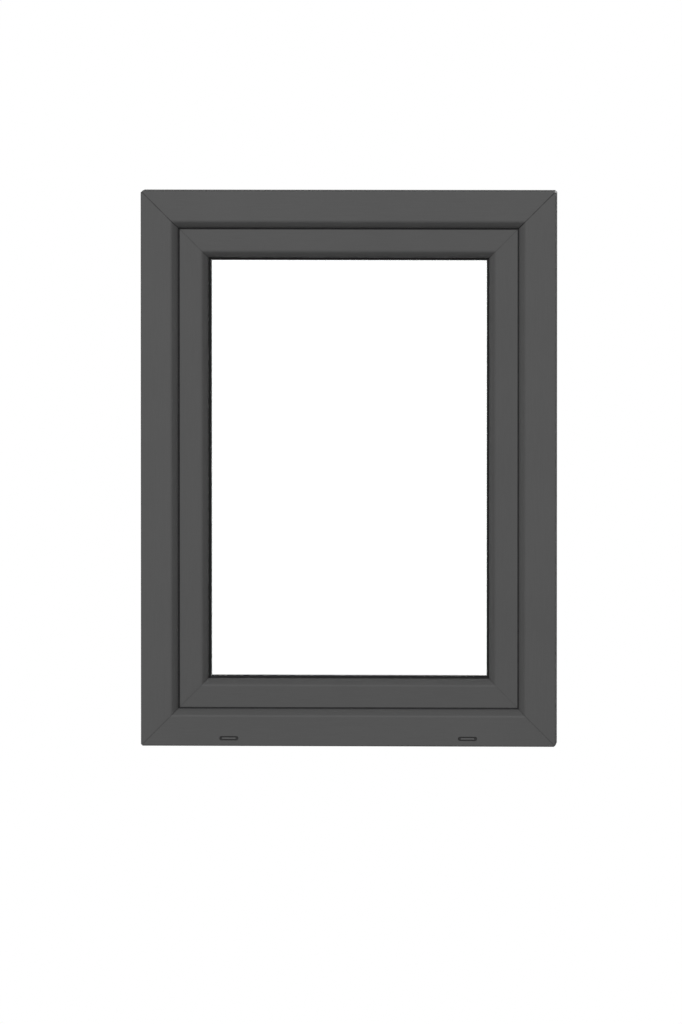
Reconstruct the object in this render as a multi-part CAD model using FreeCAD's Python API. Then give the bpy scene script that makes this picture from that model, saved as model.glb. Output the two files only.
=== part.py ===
"""Closed tilt and turn window: mitred frame, mitred sash with a sealed glass unit, and room-side fittings.

X runs along the window, +Y points into the room, +Z is up, and the origin is the middle of the sill's
underside.  Every profile is drawn once as a section.  In a section, "across" is the distance from the outer
edge of the frame towards the middle of the window, and "depth" is the distance from the frame's outdoor face
towards the room.  All sizes are in millimetres.
"""

import FreeCAD, Part
import math
import os
from FreeCAD import Vector

# Overall size, outer edge to outer edge of the frame
window_width = 683.0
window_height = 914.0

# Frame profile
frame_depth = 70.0
frame_face = 61.0
frame_bevel_width = 10.5
frame_bevel_drop = 10.0
frame_lip_thickness = 12.5
rebate_step = 20.0
gutter_width = 12.0
gutter_depth = 3.0
gutter_slope = 2.0
anchor_groove_offset = 18.0
anchor_groove_mouth = 6.0
anchor_groove_width = 10.0
anchor_groove_depth = 3.5
anchor_groove_lip = 1.2
corner_cut = 3.0

# Sash profile
sash_setback = 15.0
sash_width = 77.3
sash_bevel_width = 10.1
sash_bevel_drop = 9.5
sash_overlap = 8.0
sash_lip_gap = 3.0
sash_lip_thickness = 10.0
sash_lip_radius = 4.0
hardware_gap = 12.0
hardware_groove_axis = 13.0
hardware_recess_width = 16.0
hardware_recess_depth = 2.5
hardware_slot_width = 12.0
hardware_slot_depth = 11.0
glazing_rebate = 20.5
glazing_flange = 14.0

# Hollow chambers of the frame and sash profiles
chamber_wall = 3.0
chamber_web = 1.5
front_chamber_depth = 11.0
back_chamber_depth = 14.0
sash_front_chamber_depth = 8.5

# Edge radii and the cleaned weld along every mitre
outer_edge_radius = 2.0
face_edge_radius = 6.0
nose_radius = 3.5
tip_radius = 1.0
small_radius = 0.5
weld_width = 1.2
weld_depth = 0.4

# Sealed glass unit
pane_thickness = 4.0
cavity_width = 16.0
pane_arris = 0.5
glass_edge_gap = 5.0
sealant_height = 5.0
spacer_height = 6.5
spacer_chamfer = 2.5
glazing_seal_thickness = 3.0
glazing_seal_show = 4.4
glazing_seal_cover = 12.0

# Glazing bead
bead_setback = 2.0
bead_top_land = 3.0
bead_foot_land = 5.0
bead_stand = 22.0
bead_radius = 7.0
bead_foot_width = 5.0
bead_foot_depth = 4.5
bead_foot_inset = 9.5

# Seals and the grooves that hold them
seal_groove_width = 3.0
seal_groove_depth = 3.0
seal_groove_inset = 3.0
seal_fit = 0.2
frame_seal_show = 2.5
frame_seal_tip = 1.1
seal_heel = 1.0

# Drain slots in the sill
drain_spacing = 393.0
drain_height = 12.8
drain_length = 31.6
drain_width = 7.1
drain_slot_depth = 8.0
drain_cap_fit = 0.15
drain_cap_recess = 2.6
drain_rib_length = 22.0
drain_rib_width = 2.4
drain_rib_recess = 0.5

# Hinges on the left-hand side, seen from outside
hinge_barrel_radius = 8.0
hinge_barrel_gap = 2.0
hinge_plate_thickness = 3.0
hinge_plate_width = 24.0
hinge_plate_overhang = 16.0
hinge_leaf_width = 34.0
hinge_knuckle_height = 42.0
hinge_knuckle_gap = 1.0
hinge_corner_offset = 44.0
hinge_pin_radius = 4.0
hinge_pin_fit = 0.05
hinge_cap_height = 4.0
hinge_cap_taper = 2.0
hinge_edge_chamfer = 1.0

# Handle on the right-hand stile, seen from outside
handle_backset = 15.0
rosette_width = 31.0
rosette_height = 68.0
rosette_thickness = 11.0
rosette_chamfer = 1.5
collar_radius = 11.5
collar_height = 5.0
neck_length = 18.0
elbow_radius = 16.0
grip_length = 110.0
grip_width = 20.0
grip_end_width = 17.0
grip_thickness = 12.5
grip_chamfer = 3.0
grip_end_chamfer = 2.0

# How far a cutting shape reaches past what it cuts
cut_margin = 1.0

# Places that follow from the sizes above, as distances across the section or depths
rebate_floor = frame_face - rebate_step
gutter_floor = rebate_floor - gutter_depth
frame_bevel_start = frame_face - frame_bevel_width
sash_lip_tip = rebate_floor - sash_overlap
sash_edge = rebate_floor + hardware_gap
sash_tip = sash_lip_tip + sash_width
sash_bevel_start = sash_tip - sash_bevel_width
glazing_floor = sash_tip - glazing_rebate
sash_lip_back = frame_depth + sash_lip_gap
sash_room_face = sash_lip_back + sash_lip_thickness
flange_back = sash_setback + glazing_flange
glass_edge = glazing_floor + glass_edge_gap
glass_front = flange_back + glazing_seal_thickness
cavity_front = glass_front + pane_thickness
cavity_back = cavity_front + cavity_width
glass_back = cavity_back + pane_thickness
bead_front = glass_back + glazing_seal_thickness
bead_back = sash_room_face - bead_setback
bead_tip = glazing_floor + bead_stand
bead_groove_back = sash_room_face - bead_foot_inset
bead_slot_floor = glazing_floor - bead_foot_depth - seal_fit
sight_line = sash_tip + glazing_seal_show
hardware_axis = sash_lip_back - hardware_groove_axis
hinge_axis_across = sash_lip_tip - hinge_barrel_gap - hinge_barrel_radius
hinge_axis_depth = frame_depth + hinge_plate_thickness + hinge_barrel_radius


def section_point(across, depth):
    """Point of a section, in the plane x = 0, with the frame's depth centred on y = 0."""
    return Vector(0, depth - frame_depth / 2, across)


def outline(corners):
    """Closed wire through (across, depth, radius) corners, each rounded by a tangent arc."""
    points = [section_point(across, depth) for across, depth, _ in corners]
    joints = []
    for index, (across, depth, radius) in enumerate(corners):
        corner = points[index]
        if radius == 0:
            joints.append((corner, None, corner))
            continue
        to_last = (points[index - 1] - corner).normalize()
        to_next = (points[(index + 1) % len(points)] - corner).normalize()
        half_angle = to_last.getAngle(to_next) / 2
        setback = radius / math.tan(half_angle)
        inward = (to_last + to_next).normalize()
        middle = corner + inward * (radius / math.sin(half_angle) - radius)
        joints.append((corner + to_last * setback, middle, corner + to_next * setback))
    edges = []
    for index, (arrive, middle, leave) in enumerate(joints):
        edges.append(Part.LineSegment(joints[index - 1][2], arrive).toShape())
        if middle is not None:
            edges.append(Part.Arc(arrive, middle, leave).toShape())
    return Part.Wire(edges)


def section_face(corners, chambers=()):
    """Face of a profile inside its outline and outside its chambers."""
    wires = [outline(corners)] + [outline(chamber) for chamber in chambers]
    return Part.makeFace(wires, "Part::FaceMakerBullseye")


def chamber(across_from, across_to, depth_from, depth_to):
    """Corners of one hollow chamber that runs the whole length of a profile."""
    return [
        (across_from, depth_from, 0),
        (across_to, depth_from, 0),
        (across_to, depth_to, 0),
        (across_from, depth_to, 0),
    ]


def seal_groove(start, step_across, mouth, step_depth):
    """Corners of a square groove from "start" across, towards step_across and cut towards step_depth."""
    end = start + math.copysign(seal_groove_width, step_across)
    bottom = mouth + math.copysign(seal_groove_depth, step_depth)
    return [(start, mouth, 0), (start, bottom, 0), (end, bottom, 0), (end, mouth, 0)]


def anchor_groove(middle):
    """Corners of an undercut groove in the frame's outer edge, from its room side to its outdoor side."""
    mouth = anchor_groove_mouth / 2
    inside = anchor_groove_width / 2
    room_side = [
        (0, middle + mouth, 0),
        (anchor_groove_lip, middle + mouth, 0),
        (anchor_groove_lip, middle + inside, 0),
        (anchor_groove_depth, middle + inside, 0),
    ]
    outdoor_side = [(across, 2 * middle - depth, radius) for across, depth, radius in reversed(room_side)]
    return room_side + outdoor_side


def frame_chambers():
    """Chambers of the frame: behind the outdoor face, in the lip, for the steel bar, and at the back."""
    outer = anchor_groove_depth + chamber_web
    inner = gutter_floor - chamber_wall
    front_end = chamber_wall + front_chamber_depth
    steel_start = front_end + chamber_web
    back_end = frame_depth - chamber_wall
    back_start = back_end - back_chamber_depth
    lip_end = frame_lip_thickness - chamber_wall
    return [
        chamber(outer, inner, chamber_wall, front_end),
        chamber(inner + chamber_web, frame_bevel_start, chamber_wall, lip_end),
        chamber(outer, inner, steel_start, back_start - chamber_web),
        chamber(outer, rebate_floor - chamber_wall, back_start, back_end),
    ]


def frame_section(skin=0.0):
    """Frame profile: outdoor lip with a bevelled edge, gutter, rebate floor and grooved outer edge.

    The visible outdoor and room faces are set in by skin, which makes the bottom of the weld groove.
    """
    lip_back = frame_lip_thickness
    gutter_front = lip_back + gutter_slope
    gutter_back = gutter_front + gutter_width
    return section_face(
        [
            (0, skin, outer_edge_radius),
            (frame_bevel_start, skin, face_edge_radius),
            (frame_face, frame_bevel_drop + skin, nose_radius),
            (frame_face, lip_back, 0),
            *seal_groove(frame_face - seal_groove_inset, -1, lip_back, -1),
            (gutter_floor, gutter_front, 0),
            (gutter_floor, gutter_back, 0),
            (rebate_floor, gutter_back + gutter_slope, 0),
            (rebate_floor, frame_depth - skin, tip_radius),
            (0, frame_depth - skin, outer_edge_radius),
            *anchor_groove(frame_depth - anchor_groove_offset),
            *anchor_groove(anchor_groove_offset),
        ],
        frame_chambers(),
    )


def hardware_groove():
    """Corners of the stepped groove that takes the locking gear, in the edge of the sash."""
    axis = hardware_axis
    recess = hardware_recess_width / 2
    slot = hardware_slot_width / 2
    recess_floor = sash_edge + hardware_recess_depth
    slot_floor = sash_edge + hardware_slot_depth
    room_side = [
        (sash_edge, axis + recess, 0),
        (recess_floor, axis + recess, 0),
        (recess_floor, axis + slot, 0),
        (slot_floor, axis + slot, 0),
    ]
    outdoor_side = [(across, 2 * axis - depth, radius) for across, depth, radius in reversed(room_side)]
    return room_side + outdoor_side


def sash_chambers():
    """Chambers of the sash: front, glazing flange, steel bar, back and overlapping lip."""
    outer = sash_edge + chamber_wall
    inner = glazing_floor - chamber_wall
    front_start = sash_setback + chamber_wall
    front_end = front_start + sash_front_chamber_depth
    steel_end = hardware_axis - hardware_recess_width / 2 - chamber_wall
    back_start = steel_end + chamber_web
    back_end = sash_room_face - chamber_wall
    back_outer = sash_edge + hardware_slot_depth + chamber_wall
    lip_outer = sash_lip_tip + seal_groove_inset + seal_groove_width + chamber_web
    return [
        chamber(outer, inner, front_start, front_end),
        chamber(inner + chamber_web, sash_bevel_start, front_start, flange_back - chamber_wall),
        chamber(outer, inner, front_end + chamber_web, steel_end),
        chamber(back_outer, bead_slot_floor - chamber_wall, back_start, back_end),
        chamber(lip_outer, back_outer - chamber_web, sash_lip_back + chamber_wall, back_end),
    ]


def sash_section(skin=0.0):
    """Sash profile: bevelled glazing flange, glazing rebate, room face and overlapping lip.

    The visible outdoor and room faces are set in by skin, which makes the bottom of the weld groove.
    """
    foot_slot = bead_foot_width + 2 * seal_fit
    bead_slot_back = bead_groove_back + seal_fit
    bead_slot_front = bead_slot_back - foot_slot
    return section_face(
        [
            (sash_edge, sash_setback + skin, 0),
            (sash_bevel_start, sash_setback + skin, face_edge_radius),
            (sash_tip, sash_setback + sash_bevel_drop + skin, nose_radius),
            (sash_tip, flange_back, 0),
            *seal_groove(sash_tip - seal_groove_inset, -1, flange_back, -1),
            (glazing_floor, flange_back, 0),
            (glazing_floor, bead_slot_front, 0),
            (bead_slot_floor, bead_slot_front, 0),
            (bead_slot_floor, bead_slot_back, 0),
            (glazing_floor, bead_slot_back, 0),
            (glazing_floor, sash_room_face - skin, tip_radius),
            (sash_lip_tip, sash_room_face - skin, sash_lip_radius),
            (sash_lip_tip, sash_lip_back, small_radius),
            *seal_groove(sash_lip_tip + seal_groove_inset, 1, sash_lip_back, 1),
            (sash_edge, sash_lip_back, 0),
            *hardware_groove(),
        ],
        sash_chambers(),
    )


def bead_section():
    """Glazing bead: a foot clipped into the sash, a flat against the glass seal and a sloping room face."""
    return section_face(
        [
            (glazing_floor, bead_front, 0),
            (bead_tip, bead_front, 0),
            (bead_tip, bead_front + bead_top_land, tip_radius),
            (glazing_floor + bead_foot_land, bead_back, bead_radius),
            (glazing_floor, bead_back, small_radius),
            (glazing_floor, bead_groove_back, 0),
            (glazing_floor - bead_foot_depth, bead_groove_back, 0),
            (glazing_floor - bead_foot_depth, bead_groove_back - bead_foot_width, 0),
            (glazing_floor, bead_groove_back - bead_foot_width, 0),
        ]
    )


def seal_foot(start, step_across, mouth, step_depth):
    """Corners of the foot of a seal, a little smaller all round than its groove."""
    side = math.copysign(seal_fit, step_across)
    lift = math.copysign(seal_fit, step_depth)
    groove = seal_groove(start, step_across, mouth, step_depth)
    near, near_bottom, far_bottom, far = groove
    return [
        (near[0] + side, mouth, 0),
        (near_bottom[0] + side, near_bottom[1] - lift, 0),
        (far_bottom[0] - side, far_bottom[1] - lift, 0),
        (far[0] - side, mouth, 0),
    ]


def frame_seal_section():
    """Seal between the frame's outdoor lip and the sash, with a lip that shows beside the sash."""
    lip_back = frame_lip_thickness
    shown = frame_face + frame_seal_show
    heel = frame_face - seal_groove_inset - seal_groove_width - seal_heel
    return section_face(
        [
            (frame_face, lip_back, 0),
            *seal_foot(frame_face - seal_groove_inset, -1, lip_back, -1),
            (heel, lip_back, 0),
            (heel, sash_setback, 0),
            (shown, sash_setback, 0),
            (shown, lip_back + frame_seal_tip, small_radius),
        ]
    )


def sash_seal_section():
    """Seal between the lip of the sash and the frame's room face."""
    groove_start = sash_lip_tip + seal_groove_inset
    heel = groove_start - seal_heel
    toe = rebate_floor - tip_radius - small_radius
    return section_face(
        [
            *seal_foot(groove_start, 1, sash_lip_back, 1),
            (toe, sash_lip_back, 0),
            (toe, frame_depth, 0),
            (heel, frame_depth, 0),
            (heel, sash_lip_back, 0),
        ]
    )


def outer_glazing_seal_section():
    """Seal between the glazing flange and the outer pane, with a sloping lip that frames the glass."""
    heel = sight_line - glazing_seal_cover
    return section_face(
        [
            (sash_tip, flange_back, 0),
            *seal_foot(sash_tip - seal_groove_inset, -1, flange_back, -1),
            (heel, flange_back, 0),
            (heel, glass_front, 0),
            (sight_line, glass_front, 0),
            (sight_line, glass_front - seal_heel, small_radius),
        ]
    )


def inner_glazing_seal_section():
    """Seal between the inner pane and the glazing bead."""
    heel = sight_line - glazing_seal_cover
    return section_face(
        [
            (heel, glass_back, 0),
            (sight_line, glass_back, 0),
            (sight_line, glass_back + seal_heel, small_radius),
            (bead_tip, bead_front, 0),
            (heel, bead_front, 0),
        ]
    )


def spacer_section():
    """Spacer bar between the panes, with its two outer corners taken off."""
    outer = glass_edge + sealant_height
    inner = outer + spacer_height
    return section_face(
        [
            (outer, cavity_front + spacer_chamfer, 0),
            (outer, cavity_back - spacer_chamfer, 0),
            (outer + spacer_chamfer, cavity_back, 0),
            (inner, cavity_back, 0),
            (inner, cavity_front, 0),
            (outer + spacer_chamfer, cavity_front, 0),
        ]
    )


def sealant_section():
    """Edge sealant that fills the cavity from the edge of the glass to the spacer bar."""
    outer = glass_edge + sealant_height
    return section_face(
        [
            (glass_edge, cavity_front, 0),
            (glass_edge, cavity_back, 0),
            (outer + spacer_chamfer, cavity_back, 0),
            (outer, cavity_back - spacer_chamfer, 0),
            (outer, cavity_front + spacer_chamfer, 0),
            (outer + spacer_chamfer, cavity_front, 0),
        ]
    )


def plan_prism(points, shape_box):
    """Prism on a triangle of (x, z) points, through the full depth of a box."""
    front = shape_box.YMin - cut_margin
    corners = [Vector(x, front, z) for x, z in points]
    triangle = Part.Face(Part.makePolygon([*corners, corners[0]]))
    return triangle.extrude(Vector(0, shape_box.YLength + 2 * cut_margin, 0))


def mitred_bar(section, length, short=0.0):
    """Section run along X and cut at 45 degrees at both ends, each cut drawn back by short."""
    bar = section.extrude(Vector(length, 0, 0))
    bar.translate(Vector(-length / 2, 0, 0))
    box = bar.BoundBox
    top = box.ZMax + cut_margin
    half = length / 2
    beyond = half + cut_margin
    for end in (-1, 1):
        waste = [(beyond, -cut_margin - short), (beyond, top), (half - short - top, top)]
        bar = bar.cut(plan_prism([(end * x, z) for x, z in waste], box))
    return bar


def welded_bar(profile, length):
    """Mitred bar whose visible faces stop short of each mitre, which leaves half of the weld groove there."""
    full = mitred_bar(profile(), length, weld_width / math.sqrt(2))
    core = mitred_bar(profile(weld_depth), length)
    return full.fuse(core).removeSplitter()


def trim_corners(bar, length):
    """Cuts the sharp outer corners off a frame bar, as the corner knife leaves them."""
    box = bar.BoundBox
    half = length / 2
    for end in (-1, 1):
        beyond = half + corner_cut
        tip = [(half - corner_cut, 0), (beyond, -corner_cut), (beyond, 2 * corner_cut)]
        bar = bar.cut(plan_prism([(end * x, z) for x, z in tip], box))
    return bar


SIDES = {
    "bottom": (0, window_width, Vector(0, 0, 0)),
    "right": (-90, window_height, Vector(window_width / 2, 0, window_height / 2)),
    "top": (180, window_width, Vector(0, 0, window_height)),
    "left": (90, window_height, Vector(-window_width / 2, 0, window_height / 2)),
}


def on_side(make_bar, side):
    """Makes a bar as long as one side of the window and puts it there, with its outer edge outermost."""
    turn, length, place = SIDES[side]
    bar = make_bar(length)
    bar.rotate(Vector(0, 0, 0), Vector(0, 1, 0), turn)
    bar.translate(place)
    return bar


def ring(section):
    """One closed ring of a section, mitred at the four corners."""
    bars = [on_side(lambda length: mitred_bar(section, length), side) for side in SIDES]
    return bars[0].multiFuse(bars[1:]).removeSplitter()


def frame_bar(length):
    return trim_corners(welded_bar(frame_section, length), length)


def sash_bar(length):
    return welded_bar(sash_section, length)


def bead_bar(length):
    return mitred_bar(bead_section(), length)


def pane(front):
    """Pane of glass with its edges arrised."""
    width = window_width - 2 * glass_edge
    height = window_height - 2 * glass_edge
    corner = Vector(-width / 2, front - frame_depth / 2, glass_edge)
    sheet = Part.makeBox(width, pane_thickness, height, corner)
    return sheet.makeChamfer(pane_arris, sheet.Edges)


def obround(length, width, depth_from, depth_to, middle):
    """Slot-shaped block along X, between two depths, around a middle point given as (x, z)."""
    radius = width / 2
    half = length / 2 - radius
    x, z = middle
    y = depth_from - frame_depth / 2
    edges = [
        Part.LineSegment(Vector(x - half, y, z - radius), Vector(x + half, y, z - radius)).toShape(),
        Part.Arc(
            Vector(x + half, y, z - radius), Vector(x + half + radius, y, z), Vector(x + half, y, z + radius)
        ).toShape(),
        Part.LineSegment(Vector(x + half, y, z + radius), Vector(x - half, y, z + radius)).toShape(),
        Part.Arc(
            Vector(x - half, y, z + radius), Vector(x - half - radius, y, z), Vector(x - half, y, z - radius)
        ).toShape(),
    ]
    return Part.Face(Part.Wire(edges)).extrude(Vector(0, depth_to - depth_from, 0))


def drain_places():
    return {"left": (-drain_spacing / 2, drain_height), "right": (drain_spacing / 2, drain_height)}


def cut_drains(sill):
    """Mills the drain slots into the outdoor face of the sill."""
    for middle in drain_places().values():
        sill = sill.cut(obround(drain_length, drain_width, -cut_margin, drain_slot_depth, middle))
    return sill


def drain_cap(middle):
    """Cap pushed into a drain slot: a recessed plate with a rib along its middle."""
    length = drain_length - 2 * drain_cap_fit
    width = drain_width - 2 * drain_cap_fit
    plate = obround(length, width, drain_cap_recess, drain_slot_depth, middle)
    x, z = middle
    rib_corner = Vector(x - drain_rib_length / 2, drain_rib_recess - frame_depth / 2, z - drain_rib_width / 2)
    rib = Part.makeBox(drain_rib_length, drain_slot_depth - drain_rib_recess, drain_rib_width, rib_corner)
    return plate.fuse(rib).removeSplitter()


def hinge_side_x(across):
    return across - window_width / 2


def knuckle(plan_blocks, foot, height):
    """Hinge knuckle: a barrel and the flat blocks that carry it, bored for the pin.

    A plan block is (across from, across to, depth from, depth to).
    """
    axis = Vector(hinge_side_x(hinge_axis_across), hinge_axis_depth - frame_depth / 2, foot)
    body = Part.makeCylinder(hinge_barrel_radius, height, axis)
    for across_from, across_to, depth_from, depth_to in plan_blocks:
        corner = Vector(hinge_side_x(across_from), depth_from - frame_depth / 2, foot)
        block = Part.makeBox(across_to - across_from, depth_to - depth_from, height, corner)
        upright_edges = [edge for edge in block.Edges if edge.BoundBox.ZLength > height / 2]
        body = body.fuse(block.makeChamfer(hinge_edge_chamfer, upright_edges))
    bore = Part.makeCylinder(hinge_pin_radius + hinge_pin_fit, height, axis)
    return body.removeSplitter().cut(bore)


def frame_knuckle(foot):
    """Knuckle on a plate that is screwed to the room face of the frame."""
    plate_from = hinge_axis_across - hinge_plate_overhang
    plate = (plate_from, plate_from + hinge_plate_width, frame_depth, frame_depth + hinge_plate_thickness)
    web_half = hinge_pin_radius
    web = (hinge_axis_across - web_half, hinge_axis_across + web_half, frame_depth, hinge_axis_depth)
    return knuckle([plate, web], foot, hinge_knuckle_height)


def sash_knuckle(foot):
    """Knuckle on a leaf that is screwed to the room face of the sash."""
    leaf_to = hinge_axis_across + hinge_leaf_width
    leaf = (hinge_axis_across, leaf_to, sash_room_face, sash_room_face + hinge_plate_thickness)
    return knuckle([leaf], foot, hinge_knuckle_height)


def hinge_pin(foot):
    """Pin through both knuckles with a tapered cap at each end, turned from one half profile."""
    reach = 2 * hinge_knuckle_height + hinge_knuckle_gap
    x = hinge_side_x(hinge_axis_across)
    y = hinge_axis_depth - frame_depth / 2
    lower_half = [
        (0, -hinge_cap_height),
        (hinge_barrel_radius - hinge_cap_taper, -hinge_cap_height),
        (hinge_barrel_radius, 0),
        (hinge_pin_radius, 0),
    ]
    upper_half = [(radius, reach - height) for radius, height in reversed(lower_half)]
    points = [Vector(x + radius, y, foot + height) for radius, height in lower_half + upper_half]
    profile = Part.Face(Part.makePolygon([*points, points[0]]))
    return profile.revolve(Vector(x, y, foot), Vector(0, 0, 1), 360)


def hinges():
    """Lower and upper hinge, each with a knuckle on the frame, a knuckle on the sash and a pin."""
    step = hinge_knuckle_height + hinge_knuckle_gap
    low = hinge_corner_offset
    high = window_height - hinge_corner_offset - 2 * hinge_knuckle_height - hinge_knuckle_gap
    return {
        "lower_hinge_frame_knuckle": frame_knuckle(low),
        "lower_hinge_sash_knuckle": sash_knuckle(low + step),
        "lower_hinge_pin": hinge_pin(low),
        "upper_hinge_sash_knuckle": sash_knuckle(high),
        "upper_hinge_frame_knuckle": frame_knuckle(high + step),
        "upper_hinge_pin": hinge_pin(high),
    }


def handle_foot():
    """Point on the room face of the sash where the handle's spindle comes through."""
    across = sash_edge + handle_backset
    return Vector(window_width / 2 - across, sash_room_face - frame_depth / 2, window_height / 2)


def rounded_strip(middle, half_length, half_width, along, across):
    """Edges of a strip with round ends: its length along one unit vector and its width across another."""
    straight = along * (half_length - half_width)
    side = across * half_width
    tip = along * half_length
    return [
        Part.LineSegment(middle - straight - side, middle + straight - side).toShape(),
        Part.Arc(middle + straight - side, middle + tip, middle + straight + side).toShape(),
        Part.LineSegment(middle + straight + side, middle - straight + side).toShape(),
        Part.Arc(middle - straight + side, middle - tip, middle - straight - side).toShape(),
    ]


def handle_rosette():
    """Rounded base plate of the handle with a collar for the lever."""
    foot = handle_foot()
    upright, sideways, outward = Vector(0, 0, 1), Vector(1, 0, 0), Vector(0, 1, 0)
    edges = rounded_strip(foot, rosette_height / 2, rosette_width / 2, upright, sideways)
    plate = Part.Face(Part.Wire(edges)).extrude(outward * rosette_thickness)
    top_edges = [edge for edge in plate.Edges if edge.BoundBox.YMin > foot.y + rosette_thickness / 2]
    plate = plate.makeChamfer(rosette_chamfer, top_edges)
    collar = Part.makeCylinder(collar_radius, collar_height, foot + outward * rosette_thickness, outward)
    return plate.fuse(collar).removeSplitter()


def lever_section(middle, width, through):
    """Closed wire of the lever's flat section, with its width along X and its four corners taken off."""
    reach, side = width / 2, grip_thickness / 2
    inner_reach, inner_side = reach - grip_chamfer, side - grip_chamfer
    quarter = [(reach, inner_side), (inner_reach, side)]
    half = quarter + [(-x, depth) for x, depth in reversed(quarter)]
    corners = half + [(x, -depth) for x, depth in reversed(half)]
    points = [middle + Vector(x, 0, 0) + through * depth for x, depth in corners]
    return Part.makePolygon([*points, points[0]])


def handle_lever():
    """Flat lever: a neck out of the rosette, an elbow, and a grip that hangs down and narrows to its end."""
    sideways, outward, upright = Vector(1, 0, 0), Vector(0, 1, 0), Vector(0, 0, 1)
    start = handle_foot() + outward * (rosette_thickness + collar_height)
    elbow_start = start + outward * neck_length
    elbow_centre = elbow_start - upright * elbow_radius
    grip_top = elbow_centre + outward * elbow_radius
    grip_end = grip_top - upright * grip_length
    neck_face = Part.Face(lever_section(start, grip_width, upright))
    neck = neck_face.extrude(outward * neck_length)
    elbow = neck_face.translated(outward * neck_length).revolve(elbow_centre, -sideways, 90)
    ends = [lever_section(grip_top, grip_width, outward), lever_section(grip_end, grip_end_width, outward)]
    grip = Part.makeLoft(ends, True, True)
    end_edges = [edge for edge in grip.Edges if edge.BoundBox.ZMax < grip_end.z + cut_margin]
    grip = grip.makeChamfer(grip_end_chamfer, end_edges)
    return neck.multiFuse([elbow, grip]).removeSplitter()


def build():
    """All pieces by name."""
    pieces = {
        "frame_head": on_side(frame_bar, "top"),
        "frame_sill": cut_drains(on_side(frame_bar, "bottom")),
        "frame_left_jamb": on_side(frame_bar, "left"),
        "frame_right_jamb": on_side(frame_bar, "right"),
        "sash_top_rail": on_side(sash_bar, "top"),
        "sash_bottom_rail": on_side(sash_bar, "bottom"),
        "sash_left_stile": on_side(sash_bar, "left"),
        "sash_right_stile": on_side(sash_bar, "right"),
        "frame_seal": ring(frame_seal_section()),
        "sash_seal": ring(sash_seal_section()),
        "outer_glazing_seal": ring(outer_glazing_seal_section()),
        "inner_glazing_seal": ring(inner_glazing_seal_section()),
        "outer_pane": pane(glass_front),
        "inner_pane": pane(cavity_back),
        "spacer_bar": ring(spacer_section()),
        "edge_sealant": ring(sealant_section()),
        "handle_rosette": handle_rosette(),
        "handle_lever": handle_lever(),
    }
    for side in SIDES:
        pieces["glazing_bead_" + side] = on_side(bead_bar, side)
    for side, middle in drain_places().items():
        pieces["drain_cap_" + side] = drain_cap(middle)
    pieces.update(hinges())
    return pieces


def main():
    os.makedirs("parts", exist_ok=True)
    for name, shape in build().items():
        shape.exportStep(os.path.join("parts", name + ".step"))
        print(f"{name}: solids {len(shape.Solids)}, valid {shape.isValid()}, volume {shape.Volume:.0f} mm3")


main()
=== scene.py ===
"""Looks of a closed tilt and turn window in dark grey foil, with its studio and camera.

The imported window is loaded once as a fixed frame.  X runs along the window, +Y points into the
room and +Z is up.  Every size is in metres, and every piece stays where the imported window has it.
"""

import math

import bmesh
import bpy
import numpy as np
from bpy.props import FloatProperty, FloatVectorProperty, IntProperty, PointerProperty
from mathutils import Euler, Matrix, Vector


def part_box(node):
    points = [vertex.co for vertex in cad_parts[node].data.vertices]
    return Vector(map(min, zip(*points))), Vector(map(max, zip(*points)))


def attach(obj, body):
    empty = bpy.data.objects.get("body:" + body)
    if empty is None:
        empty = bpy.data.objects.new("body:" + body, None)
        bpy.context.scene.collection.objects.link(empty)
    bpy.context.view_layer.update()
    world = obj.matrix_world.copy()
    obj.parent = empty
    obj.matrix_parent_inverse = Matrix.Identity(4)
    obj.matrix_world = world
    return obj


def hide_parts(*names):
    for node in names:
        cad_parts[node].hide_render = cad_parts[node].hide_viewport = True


bl_info = {
    "name": "Tilt and turn window",
    "version": (1, 0, 0),
    "blender": (4, 5, 0),
    "location": "3D View > Sidebar > Window",
    "description": "Finishes a closed tilt and turn window and sets up its studio",
    "category": "Object",
}

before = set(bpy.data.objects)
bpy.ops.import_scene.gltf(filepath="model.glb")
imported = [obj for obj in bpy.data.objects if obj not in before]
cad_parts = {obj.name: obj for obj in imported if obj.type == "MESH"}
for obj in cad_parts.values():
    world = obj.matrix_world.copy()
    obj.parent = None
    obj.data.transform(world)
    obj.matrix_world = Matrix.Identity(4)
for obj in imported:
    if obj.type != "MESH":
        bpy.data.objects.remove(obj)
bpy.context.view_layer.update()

# Outer edges of the frame, which the mitres and the camera are worked out from
FRAME_LEFT, FRAME_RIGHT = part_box("frame_left_jamb")[0].x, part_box("frame_right_jamb")[1].x
FRAME_BOTTOM, FRAME_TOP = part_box("frame_sill")[0].z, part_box("frame_head")[1].z

# Depths of the flat faces, which the drain caps, the hinge screws and the studio are placed from
OUTDOOR_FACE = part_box("frame_sill")[0].y
FRAME_ROOM_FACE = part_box("frame_sill")[1].y
SASH_ROOM_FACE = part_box("sash_left_stile")[1].y

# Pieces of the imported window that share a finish
FRAME_ACROSS = ("frame_head", "frame_sill")
FRAME_UPRIGHT = ("frame_left_jamb", "frame_right_jamb")
SASH_ACROSS = ("sash_top_rail", "sash_bottom_rail", "glazing_bead_top", "glazing_bead_bottom")
SASH_UPRIGHT = ("sash_left_stile", "sash_right_stile", "glazing_bead_left", "glazing_bead_right")
REBATE_SEALS = ("frame_seal", "sash_seal")
GLAZING_SEALS = ("outer_glazing_seal", "inner_glazing_seal", "edge_sealant")
PANES = ("outer_pane", "inner_pane")
DRAIN_CAPS = ("drain_cap_left", "drain_cap_right")
FRAME_KNUCKLES = ("lower_hinge_frame_knuckle", "upper_hinge_frame_knuckle")
SASH_KNUCKLES = ("lower_hinge_sash_knuckle", "upper_hinge_sash_knuckle")
HINGE_PINS = ("lower_hinge_pin", "upper_hinge_pin")


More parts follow.
